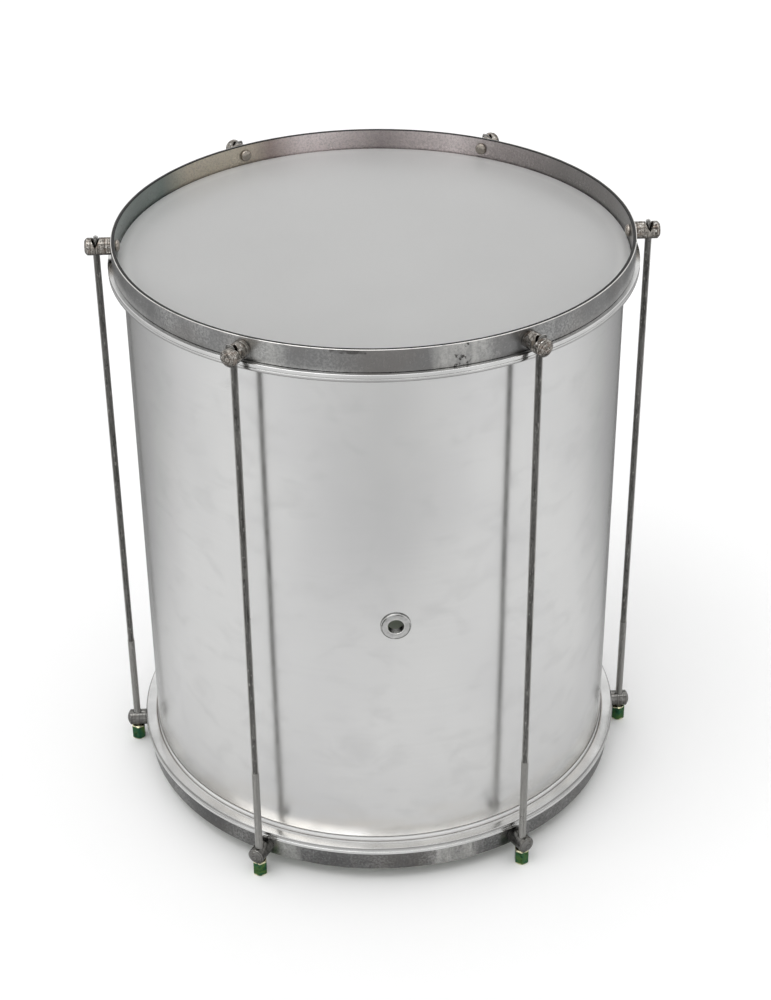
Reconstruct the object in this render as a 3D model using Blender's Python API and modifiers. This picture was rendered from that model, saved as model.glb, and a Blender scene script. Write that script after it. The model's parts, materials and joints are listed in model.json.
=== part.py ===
# Surdo: a light Brazilian bass drum with a sheet aluminium shell, two film heads and six tension rods.
# Metres, +Z up. The origin is on the drum's axis, level with the bottoms of the six nuts that it stands on.
# The vent is in the front, which faces -Y. Turning the nuts lets the whole batter side rise along +Z.

import math

import bmesh
import bpy
from mathutils import Matrix, Vector

# Gap left between pieces that rest on each other, and between the turns of a fit
CLEARANCE = 0.0003

# Size of a cutting tool as a multiple of what it cuts, so that it always reaches right through
CUTTER_REACH = 4

# How finely round pieces are faceted
RING_SEGMENTS = 48
LUG_SEGMENTS = 12
VENT_SEGMENTS = 20
CORNER_STEPS = 3
ROD_BEVEL_RESOLUTION = 2
SMOOTH_ANGLE = math.radians(40.0)
WELD_DISTANCE = 0.00001

# Shell, a rolled sheet whose two edges are turned inwards to carry the heads
SHELL_RADIUS = 0.2032
SHELL_HEIGHT = 0.459
SHELL_WALL = 0.0015
BEARING_LIP = 0.006
EDGE_ROUNDING = 0.0012

# Film heads and the metal flesh hoops that grip their rims
FILM_THICKNESS = 0.0005
FILM_GRIP = 0.0045
COLLAR_HEIGHT = 0.0018
FLESH_HOOP_WIDTH = 0.0102
FLESH_HOOP_HEIGHT = 0.0065
FLESH_HOOP_ROUNDING = 0.001

# Counterhoops, flat bar bent on edge
HOOP_THICKNESS = 0.0032
HOOP_HEIGHT = 0.0185

# Lugs, turned studs riveted through the counterhoops
LUG_COUNT = 6
LUG_RADIUS = 0.0071
LUG_LENGTH = 0.0214
LUG_CHAMFER = 0.0022
LUG_DOME = 0.0028
ROD_REACH = 0.0123
TENON_RADIUS = 0.004
RIVET_RADIUS = 0.0053
RIVET_HEIGHT = 0.003
NOTCH_DEPTH = 0.0063
NOTCH_ANGLE = math.radians(60.0)

# Tension rods, hooked over the batter side's lugs and threaded at the other end
ROD_RADIUS = 0.00275
ROD_PLAY = 0.0006
THREAD_RADIUS = 0.003175
THREAD_LENGTH = 0.110
THREAD_SHOULDER = 0.003
HOOK_RADIUS = 0.002
HOOK_BEND = 0.0032
HOOK_REACH = 0.0054

# Tuning nuts, tall hexagons under the resonant side's lugs
NUT_FLATS = 0.0111
NUT_HEIGHT = 0.0146
NUT_CHAMFER = 0.0011
NUT_FACE_INSET = 0.0003
NUT_SPARE_DEPTH = 0.002

# Vent, an eyelet curled over a washer inside the shell. It is drilled by eye, near the front's middle
VENT_ANGLE = math.radians(-88.7)
VENT_DROP = 0.0015
VENT_FLANGE_RADIUS = 0.01225
VENT_FLANGE_THICKNESS = 0.0018
VENT_FLANGE_RIM = 0.0006
VENT_BORE_RADIUS = 0.0064
VENT_BARREL_WALL = 0.0011
VENT_CURL = 0.0013
WASHER_RADIUS = 0.011
WASHER_THICKNESS = 0.001

# Radii that follow from the shell outwards
SKIRT_INNER = SHELL_RADIUS + CLEARANCE
SKIRT_OUTER = SKIRT_INNER + FILM_THICKNESS
FLESH_HOOP_INNER = SKIRT_OUTER + CLEARANCE
FLESH_HOOP_OUTER = FLESH_HOOP_INNER + FLESH_HOOP_WIDTH
HOOP_INNER = FLESH_HOOP_INNER + (FLESH_HOOP_WIDTH - HOOP_THICKNESS) / 2
HOOP_OUTER = HOOP_INNER + HOOP_THICKNESS
LUG_SEAT = HOOP_OUTER + CLEARANCE
ROD_CIRCLE = LUG_SEAT + ROD_REACH

# Levels at either end of the drum, measured outwards from the shell's edge
FILM_FACE = CLEARANCE + FILM_THICKNESS
FLESH_HOOP_FACE = FILM_FACE - COLLAR_HEIGHT
HOOP_SEAT = FLESH_HOOP_FACE + CLEARANCE
LUG_LEVEL = HOOP_SEAT + HOOP_HEIGHT / 2

# Heights in the finished drum
LOW_LUG_HEIGHT = NUT_HEIGHT + CLEARANCE + LUG_RADIUS
SHELL_BOTTOM = LOW_LUG_HEIGHT + LUG_LEVEL
SHELL_TOP = SHELL_BOTTOM + SHELL_HEIGHT
HIGH_LUG_HEIGHT = SHELL_TOP + LUG_LEVEL
MIDDLE_HEIGHT = (SHELL_BOTTOM + SHELL_TOP) / 2

# A facet falls back this far from the line of its vertex, for each metre to the side
FACET_SLOPE = math.tan(math.pi / RING_SEGMENTS)


def start_empty():
    for old in list(bpy.data.objects):
        bpy.data.objects.remove(old, do_unlink=True)


def make_collection(name):
    collection = bpy.data.collections.new(name)
    bpy.context.scene.collection.children.link(collection)
    return collection


def make_material(name, colour, metallic, roughness):
    material = bpy.data.materials.new(name)
    material.use_nodes = True
    shader = material.node_tree.nodes["Principled BSDF"]
    shader.inputs["Base Color"].default_value = (*colour, 1.0)
    shader.inputs["Metallic"].default_value = metallic
    shader.inputs["Roughness"].default_value = roughness
    material.diffuse_color = (*colour, 1.0)
    return material


def corner(centre, radius, start, end, steps=CORNER_STEPS):
    # Points of a rounded corner in a (radius, height) profile. Angles are in degrees, 0 outwards and 90 up
    points = []
    for step in range(steps):
        angle = math.radians(start + (end - start) * step / (steps - 1))
        points.append((centre[0] + radius * math.cos(angle), centre[1] + radius * math.sin(angle)))
    return points


def settle(source):
    # The mesh that an object evaluates to, welded and shaded; the object itself goes
    depsgraph = bpy.context.evaluated_depsgraph_get()
    mesh = bpy.data.meshes.new_from_object(source.evaluated_get(depsgraph))
    shape = bmesh.new()
    shape.from_mesh(mesh)
    bmesh.ops.remove_doubles(shape, verts=shape.verts, dist=WELD_DISTANCE)
    shape.to_mesh(mesh)
    shape.free()
    bpy.data.objects.remove(source, do_unlink=True)
    mesh.shade_smooth()
    mesh.set_sharp_from_angle(angle=SMOOTH_ANGLE)
    return mesh


def make_helper(name, shape_data):
    # An object that shapes a piece and isn't one itself
    helper = bpy.data.objects.new(name, shape_data)
    helper.hide_render = True
    helper.display_type = "WIRE"
    bpy.context.scene.collection.objects.link(helper)
    return helper


def turn(name, profile, segments, closed=True):
    # Turns a (radius, height) profile about Z. It runs down the outer side, and then up the inner side
    mesh = bpy.data.meshes.new(name)
    edges = [(i, i + 1) for i in range(len(profile) - 1)]
    if closed:
        edges.append((len(profile) - 1, 0))
    mesh.from_pydata([(radius, 0.0, height) for radius, height in profile], edges, [])
    helper = make_helper(name, mesh)
    screw = helper.modifiers.new("Turn", "SCREW")
    screw.axis = "Z"
    screw.angle = math.tau
    screw.steps = segments
    screw.render_steps = segments
    screw.use_merge_vertices = True
    screw.merge_threshold = WELD_DISTANCE
    return settle(helper)


def make_cylinders(name, radius, depth, segments, placements):
    # Capped cylinders in one mesh, each along its own frame's Z
    mesh = bpy.data.meshes.new(name)
    shape = bmesh.new()
    for placement in placements:
        bmesh.ops.create_cone(
            shape,
            cap_ends=True,
            segments=segments,
            radius1=radius,
            radius2=radius,
            depth=depth,
            matrix=placement,
        )
    shape.to_mesh(mesh)
    shape.free()
    return mesh


def combine(mesh, others, operation):
    # The mesh cut by the other meshes, or kept only where they are
    helper = make_helper(mesh.name, mesh)
    cutters = []
    for other in others:
        cutter = make_helper(other.name, other)
        modifier = helper.modifiers.new(other.name, "BOOLEAN")
        modifier.operation = operation
        modifier.solver = "EXACT"
        modifier.object = cutter
        cutters.append(cutter)
    result = settle(helper)
    for cutter in cutters:
        bpy.data.objects.remove(cutter, do_unlink=True)
    return result


def outwards(angle):
    # Frame whose Z points away from the drum's axis at this angle
    return Matrix.Rotation(angle, 4, "Z") @ Matrix.Rotation(math.pi / 2, 4, "Y")


def vent_place():
    # The vent's own frame, counted from the middle of the shell
    return Matrix.Translation((0, 0, -VENT_DROP)) @ outwards(VENT_ANGLE)


def lug_angles():
    return [math.tau * i / LUG_COUNT for i in range(LUG_COUNT)]


def shell_mesh():
    inner = SHELL_RADIUS - SHELL_WALL
    lip = SHELL_RADIUS - BEARING_LIP
    bend = SHELL_RADIUS - EDGE_ROUNDING
    half = SHELL_HEIGHT / 2
    profile = [(lip, half)]
    profile += corner((bend, half - EDGE_ROUNDING), EDGE_ROUNDING, 90, 0)
    profile += corner((bend, EDGE_ROUNDING - half), EDGE_ROUNDING, 0, -90)
    profile += [(lip, -half), (lip, SHELL_WALL - half), (inner, SHELL_WALL - half)]
    profile += [(inner, half - SHELL_WALL), (lip, half - SHELL_WALL)]
    blank = turn("shell_blank", profile, RING_SEGMENTS)
    hole_radius = VENT_BORE_RADIUS + VENT_BARREL_WALL + CLEARANCE
    placement = vent_place() @ Matrix.Translation((0, 0, SHELL_RADIUS))
    depth = CUTTER_REACH * SHELL_WALL
    hole = make_cylinders("vent_hole", hole_radius, depth, VENT_SEGMENTS, [placement])
    return combine(blank, [hole], "DIFFERENCE")


def head_mesh():
    # Film stretched over the shell's edge, with its rim turned out into the flesh hoop
    rim_level = FLESH_HOOP_FACE - FLESH_HOOP_HEIGHT / 2
    rim_outer = SKIRT_OUTER + FILM_GRIP
    inner_bend = EDGE_ROUNDING + CLEARANCE
    outer_bend = inner_bend + FILM_THICKNESS
    bend_centre = (SKIRT_INNER - inner_bend, CLEARANCE - inner_bend)
    profile = [(0.0, FILM_FACE)]
    profile += corner(bend_centre, outer_bend, 90, 0)
    profile.append((SKIRT_OUTER, rim_level + FILM_THICKNESS / 2))
    profile.append((rim_outer, rim_level + FILM_THICKNESS / 2))
    profile.append((rim_outer, rim_level - FILM_THICKNESS / 2))
    profile.append((SKIRT_INNER, rim_level - FILM_THICKNESS / 2))
    profile += corner(bend_centre, inner_bend, 0, 90)
    profile.append((0.0, CLEARANCE))
    return turn("head", profile, RING_SEGMENTS, closed=False)


def flesh_hoop_mesh():
    # Ring with an inward slot for the film's rim
    top = FLESH_HOOP_FACE
    bottom = top - FLESH_HOOP_HEIGHT
    slot_half = FILM_THICKNESS / 2 + CLEARANCE
    slot_floor = SKIRT_OUTER + FILM_GRIP + CLEARANCE
    middle = (top + bottom) / 2
    bend = FLESH_HOOP_OUTER - FLESH_HOOP_ROUNDING
    profile = [(FLESH_HOOP_INNER, top)]
    profile += corner((bend, top - FLESH_HOOP_ROUNDING), FLESH_HOOP_ROUNDING, 90, 0)
    profile += corner((bend, bottom + FLESH_HOOP_ROUNDING), FLESH_HOOP_ROUNDING, 0, -90)
    profile += [(FLESH_HOOP_INNER, bottom), (FLESH_HOOP_INNER, middle - slot_half)]
    profile += [(slot_floor, middle - slot_half), (slot_floor, middle + slot_half)]
    profile.append((FLESH_HOOP_INNER, middle + slot_half))
    return turn("flesh_hoop", profile, RING_SEGMENTS)


def hoop_mesh():
    top = HOOP_SEAT + HOOP_HEIGHT
    profile = [(HOOP_OUTER, top), (HOOP_OUTER, HOOP_SEAT), (HOOP_INNER, HOOP_SEAT), (HOOP_INNER, top)]
    blank = turn("hoop_blank", profile, RING_SEGMENTS)
    middle = (HOOP_INNER + HOOP_OUTER) / 2
    level = Matrix.Translation((0, 0, LUG_LEVEL))
    reach = Matrix.Translation((0, 0, middle))
    placements = [level @ outwards(angle) @ reach for angle in lug_angles()]
    hole_radius = TENON_RADIUS + CLEARANCE
    depth = CUTTER_REACH * HOOP_THICKNESS
    holes = make_cylinders("tenon_holes", hole_radius, depth, LUG_SEGMENTS, placements)
    return combine(blank, [holes], "DIFFERENCE")


def stud_profile(end):
    # Stud along its own axis, from its outer end in to the rivet head. Heights are from the rod's axis
    seat = -ROD_REACH
    rivet_base = HOOP_INNER - RIVET_RADIUS * FACET_SLOPE - CLEARANCE - ROD_CIRCLE
    rivet_sphere = (RIVET_RADIUS**2 + RIVET_HEIGHT**2) / (2 * RIVET_HEIGHT)
    rim_angle = math.degrees(math.atan2(rivet_sphere - RIVET_HEIGHT, RIVET_RADIUS))
    rivet_centre = (0.0, rivet_base - RIVET_HEIGHT + rivet_sphere)
    profile = end + [(LUG_RADIUS, seat), (TENON_RADIUS, seat), (TENON_RADIUS, rivet_base)]
    profile += corner(rivet_centre, rivet_sphere, -rim_angle, -90)
    return profile


def stud_mesh(name, end, cutters):
    # Turned about Z and then laid so that its outer end points along +X
    stud = turn(name, stud_profile(end), LUG_SEGMENTS, closed=False)
    stud.transform(Matrix.Rotation(math.pi / 2, 4, "Y"))
    return combine(stud, cutters, "DIFFERENCE")


def hooked_lug_mesh():
    # Stud with a chamfered end, an upright hole and a notch across its top for the rod's hook
    tip = LUG_LENGTH - ROD_REACH
    end = [(0.0, tip), (LUG_RADIUS - LUG_CHAMFER, tip), (LUG_RADIUS, tip - LUG_CHAMFER)]
    upright = Matrix.Identity(4)
    depth = CUTTER_REACH * LUG_RADIUS
    hole = make_cylinders("rod_hole", ROD_RADIUS + ROD_PLAY, depth, LUG_SEGMENTS, [upright])
    # The notch is cut by a three-sided prism that lies along Y, point down, widened to the notch's angle
    prism_radius = CUTTER_REACH * NOTCH_DEPTH
    lift = Matrix.Translation((0, 0, LUG_RADIUS - NOTCH_DEPTH + prism_radius))
    widen = Matrix.Scale(math.tan(NOTCH_ANGLE / 2) / math.tan(math.pi / 6), 4, (1, 0, 0))
    across = Matrix.Rotation(math.pi / 2, 4, "X")
    point_down = Matrix.Rotation(math.pi, 4, "Y")
    notch = make_cylinders("notch", prism_radius, depth, 3, [lift @ widen @ point_down @ across])
    return stud_mesh("hooked_lug", end, [hole, notch])


def plain_lug_mesh():
    # Stud with a domed end and an upright hole for the rod's thread
    tip = LUG_LENGTH - ROD_REACH
    sphere = (LUG_RADIUS**2 + LUG_DOME**2) / (2 * LUG_DOME)
    rim_angle = math.degrees(math.asin((sphere - LUG_DOME) / sphere))
    end = corner((0.0, tip - sphere), sphere, 90, rim_angle)
    upright = Matrix.Identity(4)
    depth = CUTTER_REACH * LUG_RADIUS
    hole = make_cylinders("thread_hole", THREAD_RADIUS + ROD_PLAY, depth, LUG_SEGMENTS, [upright])
    return stud_mesh("plain_lug", end, [hole])


def rod_mesh():
    # Rod about its own upright axis, with Z zero at the batter side's lug and the hook towards +Y
    low = NUT_SPARE_DEPTH - HIGH_LUG_HEIGHT
    # The hook lies in the notch, clear of both its sides
    notch_bottom = LUG_RADIUS - NOTCH_DEPTH
    hook_height = notch_bottom + (HOOK_RADIUS + CLEARANCE) / math.sin(NOTCH_ANGLE / 2)
    thread_scale = THREAD_RADIUS / ROD_RADIUS
    hook_scale = HOOK_RADIUS / ROD_RADIUS
    route = [(0.0, low, thread_scale)]
    route.append((0.0, low + THREAD_LENGTH - THREAD_SHOULDER, thread_scale))
    route.append((0.0, low + THREAD_LENGTH, 1.0))
    # It is drawn down thinner inside the lug, and then bent
    route.append((0.0, -LUG_RADIUS, 1.0))
    route.append((0.0, notch_bottom, hook_scale))
    bend_steps = 2 * CORNER_STEPS
    for y, z in corner((HOOK_BEND, hook_height - HOOK_BEND), HOOK_BEND, 180, 90, bend_steps):
        route.append((y, z, hook_scale))
    route.append((HOOK_REACH, hook_height, hook_scale))
    curve = bpy.data.curves.new("rod", "CURVE")
    curve.dimensions = "3D"
    curve.bevel_depth = ROD_RADIUS
    curve.bevel_resolution = ROD_BEVEL_RESOLUTION
    curve.use_fill_caps = True
    spline = curve.splines.new("POLY")
    spline.points.add(len(route) - 1)
    for point, (y, z, radius) in zip(spline.points, route):
        point.co = (0.0, y, z, 1.0)
        point.radius = radius
    return settle(make_helper("rod", curve))


def nut_mesh():
    # Hexagon with both ends turned to a chamfer, bored right through. Z is zero at its bottom
    corner_radius = NUT_FLATS / math.sqrt(3)
    face_radius = NUT_FLATS / 2 - NUT_FACE_INSET
    chamfered = corner_radius - face_radius
    middle = Matrix.Translation((0, 0, NUT_HEIGHT / 2))
    hexagon = make_cylinders("nut", corner_radius, NUT_HEIGHT, 6, [middle])
    bore = make_cylinders("nut_bore", THREAD_RADIUS + CLEARANCE, 2 * NUT_HEIGHT, LUG_SEGMENTS, [middle])
    rise = NUT_CHAMFER
    wide = face_radius + 2 * chamfered
    profile = [(0.0, NUT_HEIGHT), (face_radius, NUT_HEIGHT), (wide, NUT_HEIGHT - 2 * rise)]
    profile += [(wide, 2 * rise), (face_radius, 0.0), (0.0, 0.0)]
    barrel = turn("nut_barrel", profile, LUG_SEGMENTS, closed=False)
    hexagon = combine(hexagon, [barrel], "INTERSECT")
    return combine(hexagon, [bore], "DIFFERENCE")


def vent_levels():
    # Heights along the vent's own axis, outwards from the drum's axis
    flange_back = SHELL_RADIUS + CLEARANCE
    washer_face = SHELL_RADIUS - SHELL_WALL - WASHER_RADIUS * FACET_SLOPE - CLEARANCE
    curl_face = washer_face - WASHER_THICKNESS - CLEARANCE
    return flange_back, washer_face, curl_face


def grommet_mesh():
    flange_back, _, curl_face = vent_levels()
    front = flange_back + VENT_FLANGE_THICKNESS
    barrel = VENT_BORE_RADIUS + VENT_BARREL_WALL
    curl_radius = barrel + VENT_CURL
    rolled = (VENT_FLANGE_RADIUS + VENT_BORE_RADIUS) / 2
    profile = [(VENT_BORE_RADIUS, front - VENT_BARREL_WALL), (barrel, front), (rolled, front)]
    profile.append((VENT_FLANGE_RADIUS, flange_back + VENT_FLANGE_RIM))
    profile += [(VENT_FLANGE_RADIUS, flange_back), (barrel, flange_back), (barrel, curl_face)]
    profile += [(curl_radius, curl_face), (curl_radius, curl_face - VENT_BARREL_WALL)]
    profile.append((VENT_BORE_RADIUS, curl_face - VENT_BARREL_WALL))
    return turn("grommet", profile, VENT_SEGMENTS)


def washer_mesh():
    _, washer_face, _ = vent_levels()
    hole = VENT_BORE_RADIUS + VENT_BARREL_WALL + CLEARANCE
    back = washer_face - WASHER_THICKNESS
    profile = [(WASHER_RADIUS, washer_face), (WASHER_RADIUS, back), (hole, back), (hole, washer_face)]
    return turn("washer", profile, VENT_SEGMENTS)


def add_piece(name, mesh, collection, parent, placement):
    # A named piece, placed in the drum and then counted from its parent
    piece = bpy.data.objects.new(name, mesh)
    collection.objects.link(piece)
    piece.parent = parent
    piece.matrix_basis = Matrix.Translation(-parent.location) @ placement
    return piece


def add_side(name, height, collection):
    # Pieces that keep together hang from an empty on the drum's axis
    side = bpy.data.objects.new(name, None)
    side.location = Vector((0, 0, height))
    collection.objects.link(side)
    return side


def with_material(mesh, name, colour, metallic, roughness):
    mesh.materials.append(make_material(name, colour, metallic, roughness))
    return mesh


def main():
    start_empty()
    drum = make_collection("surdo")
    shell_side = add_side("shell_side", MIDDLE_HEIGHT, drum)
    batter_side = add_side("batter_side", SHELL_TOP, drum)

    shell = with_material(shell_mesh(), "sheet_aluminium", (0.55, 0.55, 0.54), 1.0, 0.3)
    grommet = with_material(grommet_mesh(), "nickel_plate", (0.66, 0.65, 0.62), 1.0, 0.15)
    washer = with_material(washer_mesh(), "washer_steel", (0.5, 0.5, 0.49), 1.0, 0.35)
    head = with_material(head_mesh(), "milky_film", (0.58, 0.58, 0.56), 0.0, 0.35)
    flesh_hoop = with_material(flesh_hoop_mesh(), "bright_aluminium", (0.7, 0.7, 0.69), 1.0, 0.25)
    hoop = with_material(hoop_mesh(), "zinc_plated_bar", (0.32, 0.31, 0.29), 1.0, 0.4)
    hooked_lug = with_material(hooked_lug_mesh(), "turned_steel", (0.4, 0.38, 0.36), 1.0, 0.3)
    plain_lug = with_material(plain_lug_mesh(), "dull_steel", (0.22, 0.21, 0.2), 1.0, 0.4)
    rod = with_material(rod_mesh(), "rod_steel", (0.2, 0.2, 0.19), 1.0, 0.4)
    nut = with_material(nut_mesh(), "green_passivated_zinc", (0.06, 0.12, 0.03), 1.0, 0.3)

    middle = Matrix.Translation((0, 0, MIDDLE_HEIGHT))
    add_piece("shell", shell, drum, shell_side, middle)
    add_piece("vent_grommet", grommet, drum, shell_side, middle @ vent_place())
    add_piece("vent_washer", washer, drum, shell_side, middle @ vent_place())

    batter_end = Matrix.Translation((0, 0, SHELL_TOP))
    resonant_end = Matrix.Translation((0, 0, SHELL_BOTTOM)) @ Matrix.Rotation(math.pi, 4, "X")
    add_piece("batter_head", head, drum, batter_side, batter_end)
    add_piece("batter_flesh_hoop", flesh_hoop, drum, batter_side, batter_end)
    add_piece("top_hoop", hoop, drum, batter_side, batter_end)
    add_piece("resonant_head", head, drum, shell_side, resonant_end)
    add_piece("resonant_flesh_hoop", flesh_hoop, drum, shell_side, resonant_end)
    add_piece("bottom_hoop", hoop, drum, shell_side, resonant_end)

    lug_place = Matrix.Translation((ROD_CIRCLE, 0, LUG_LEVEL))
    half_turn = Matrix.Rotation(math.pi, 4, "Z")
    for number, angle in enumerate(lug_angles(), start=1):
        turn_to = Matrix.Rotation(angle, 4, "Z")
        station = batter_end @ turn_to @ lug_place
        add_piece(f"top_lug_{number}", hooked_lug, drum, batter_side, station)
        # The hooks on the +X half point one way round the drum, and those on the other half the other way
        rod_station = station if math.cos(angle) > 0 else station @ half_turn
        add_piece(f"tension_rod_{number}", rod, drum, batter_side, rod_station)
        low_station = resonant_end @ turn_to.inverted() @ lug_place
        add_piece(f"bottom_lug_{number}", plain_lug, drum, shell_side, low_station)
        nut_station = turn_to @ Matrix.Translation((ROD_CIRCLE, 0, 0))
        add_piece(f"tuning_nut_{number}", nut, drum, shell_side, nut_station)


main()
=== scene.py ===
# Surdo, a light Brazilian bass drum: the finishes and fine surfaces over the fixed frame
import json
import math

import bmesh
import bpy
from mathutils import Matrix, Vector


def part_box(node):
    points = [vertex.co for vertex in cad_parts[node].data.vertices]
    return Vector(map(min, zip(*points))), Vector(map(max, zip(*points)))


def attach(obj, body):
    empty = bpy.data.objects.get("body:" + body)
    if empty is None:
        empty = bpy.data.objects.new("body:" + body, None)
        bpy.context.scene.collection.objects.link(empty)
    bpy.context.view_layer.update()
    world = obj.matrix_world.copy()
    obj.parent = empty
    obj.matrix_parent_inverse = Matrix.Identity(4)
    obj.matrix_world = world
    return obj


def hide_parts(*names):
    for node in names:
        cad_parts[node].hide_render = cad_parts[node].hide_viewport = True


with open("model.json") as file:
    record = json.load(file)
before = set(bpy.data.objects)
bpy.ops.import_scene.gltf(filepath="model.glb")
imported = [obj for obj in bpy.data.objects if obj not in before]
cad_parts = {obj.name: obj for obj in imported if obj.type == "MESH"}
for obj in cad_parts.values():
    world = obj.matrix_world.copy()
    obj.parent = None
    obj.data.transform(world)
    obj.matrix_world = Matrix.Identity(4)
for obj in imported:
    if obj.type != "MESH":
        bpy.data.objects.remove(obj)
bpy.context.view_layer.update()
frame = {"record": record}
scene = bpy.context.scene
record = frame["record"]
millimetre = 0.001
print("stage: frame loaded")

bodyOfNode = {node: body for body, nodes in record["behaviour"]["bodies"].items() for node in nodes}

# Heights and radii are read from the frame, so that each piece lies where its solid is
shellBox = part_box("shell")
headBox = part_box("batter_head")
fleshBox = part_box("batter_flesh_hoop")
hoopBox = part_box("top_hoop")
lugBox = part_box("top_lug_1")
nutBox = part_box("tuning_nut_1")
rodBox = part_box("tension_rod_1")
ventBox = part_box("vent_grommet")
shellRadius = shellBox[1][0]
topEdge = shellBox[1][2]
bottomEdge = shellBox[0][2]
middleHeight = (topEdge + bottomEdge) / 2
halfHeight = (topEdge - bottomEdge) / 2
filmFace = headBox[1][2] - topEdge  # levels below are counted outwards from the shell's edge
fleshFace = fleshBox[1][2] - topEdge
fleshBack = fleshBox[0][2] - topEdge
hoopSeat = hoopBox[0][2] - topEdge
hoopRim = hoopBox[1][2] - topEdge
lugLevel = (lugBox[0][2] + lugBox[1][2]) / 2 - topEdge
lugRadius = (lugBox[1][2] - lugBox[0][2]) / 2
lugTip = lugBox[1][0]
rodCircle = (nutBox[0][0] + nutBox[1][0]) / 2
hoopOuter = hoopBox[1][0]
lugAngles = [math.tau * i / 6 for i in range(6)]
ventMiddle = [(low + high) / 2 for low, high in zip(*ventBox)]
ventAngle = math.atan2(ventMiddle[1], ventMiddle[0])
weldAngle = math.radians(-75)  # where each hoop's bar was bent round and welded shut

batterEnd = Matrix.Translation((0, 0, topEdge))
resonantEnd = Matrix.Translation((0, 0, bottomEdge)) @ Matrix.Rotation(math.pi, 4, "X")


# Mesh helpers

def filletOutline(outline, steps=4):
    # outline is a list of (radius, height, rounding); a rounding above zero becomes an arc
    points = []
    count = len(outline)
    for i, (x, z, rounding) in enumerate(outline):
        if rounding <= 0:
            points.append((x, z))
            continue
        here = Vector((x, z))
        back = (Vector(outline[i - 1][:2]) - here).normalized()
        ahead = (Vector(outline[(i + 1) % count][:2]) - here).normalized()
        half = back.angle(ahead) / 2
        centre = here + (back + ahead).normalized() * (rounding / math.sin(half))
        first = here + back * (rounding / math.tan(half)) - centre
        last = here + ahead * (rounding / math.tan(half)) - centre
        sweep = first.angle(last)
        for step in range(steps + 1):
            share = step / steps
            spoke = (first * math.sin((1 - share) * sweep) + last * math.sin(share * sweep)) / math.sin(sweep)
            points.append(tuple(centre + spoke))
    return points


def spinOutline(points, segments, closed=True):
    # turns a (radius, height) outline about Z
    bm = bmesh.new()
    verts = [bm.verts.new((x, 0, z)) for x, z in points]
    for a, b in zip(verts, verts[1:]):
        bm.edges.new((a, b))
    if closed:
        bm.edges.new((verts[-1], verts[0]))
    bmesh.ops.spin(
        bm, geom=bm.verts[:] + bm.edges[:], cent=(0, 0, 0), axis=(0, 0, 1),
        angle=math.tau, steps=segments, use_merge=True,
    )
    bmesh.ops.remove_doubles(bm, verts=bm.verts, dist=1e-6)
    bmesh.ops.recalc_face_normals(bm, faces=bm.faces)
    return bm


def wrapMap(bm):
    # a UV map in metres: round the turning axis at a mean radius, and along the axis plus outwards
    layer = bm.loops.layers.uv.new("wrap")
    meanRadius = sum(v.co.xy.length for v in bm.verts) / len(bm.verts)
    for face in bm.faces:
        angles = [math.atan2(loop.vert.co.y, loop.vert.co.x) for loop in face.loops]
        crossing = max(angles) - min(angles) > math.pi
        for loop, angle in zip(face.loops, angles):
            if crossing and angle < 0:
                angle += math.tau
            loop[layer].uv = (angle * meanRadius, loop.vert.co.z - loop.vert.co.xy.length)


def settleMesh(bm, name, sharpAngle=32):
    mesh = bpy.data.meshes.new(name)
    bm.to_mesh(mesh)
    bm.free()
    mesh.shade_smooth()
    mesh.set_sharp_from_angle(angle=math.radians(sharpAngle))
    return mesh


def looseObject(name, mesh):
    obj = bpy.data.objects.new(name, mesh)
    scene.collection.objects.link(obj)
    return obj


def combined(mesh, tools, operation="DIFFERENCE", sharpAngle=32):
    # the mesh cut by, or joined to, the tool meshes
    body = looseObject(mesh.name, mesh)
    helpers = [looseObject("tool", tool) for tool in tools]
    for helper in helpers:
        modifier = body.modifiers.new("cut", "BOOLEAN")
        modifier.operation = operation
        modifier.solver = "EXACT"
        modifier.object = helper
    depsgraph = bpy.context.evaluated_depsgraph_get()
    result = bpy.data.meshes.new_from_object(body.evaluated_get(depsgraph))
    for extra in [body] + helpers:
        bpy.data.objects.remove(extra, do_unlink=True)
    result.shade_smooth()
    result.set_sharp_from_angle(angle=math.radians(sharpAngle))
    return result


def cylinderTool(radius, depth, segments, placements):
    bm = bmesh.new()
    for placement in placements:
        bmesh.ops.create_cone(
            bm, cap_ends=True, segments=segments, radius1=radius, radius2=radius,
            depth=depth, matrix=placement,
        )
    return settleMesh(bm, "cylinderTool")


def outwards(angle):
    # frame whose Z points away from the drum's axis
    return Matrix.Rotation(angle, 4, "Z") @ Matrix.Rotation(math.pi / 2, 4, "Y")


shellPlace = Matrix.Translation((0, 0, middleHeight))
ventFrame = Matrix.Translation((0, 0, ventMiddle[2] - middleHeight)) @ outwards(ventAngle)  # within the shell's


def dress(name, mesh, node, material, placement=Matrix.Identity(4)):
    # the finished piece stands for its CAD node, rides on that node's body and takes its material
    mesh = mesh.copy()
    mesh.name = name
    mesh.transform(placement)
    mesh.materials.clear()
    mesh.materials.append(material)
    obj = looseObject(name, mesh)
    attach(obj, bodyOfNode[node])
    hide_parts(node)
    return obj


# Material helpers

def linearColour(hexCode):
    channels = [int(hexCode[i:i + 2], 16) / 255 for i in (0, 2, 4)]
    return tuple(c / 12.92 if c <= 0.04045 else ((c + 0.055) / 1.055) ** 2.4 for c in channels) + (1.0,)


def addNode(tree, kind, inputs=None, output=0, **settings):
    # an input is a socket to link, a hex colour or a plain value
    node = tree.nodes.new("ShaderNode" + kind)
    for name, value in settings.items():
        setattr(node, name, value)
    for socket, value in (inputs or {}).items():
        if isinstance(value, bpy.types.NodeSocket):
            tree.links.new(value, node.inputs[socket])
        elif isinstance(value, str):
            node.inputs[socket].default_value = linearColour(value)
        else:
            node.inputs[socket].default_value = value
    return node.outputs[output]


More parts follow.
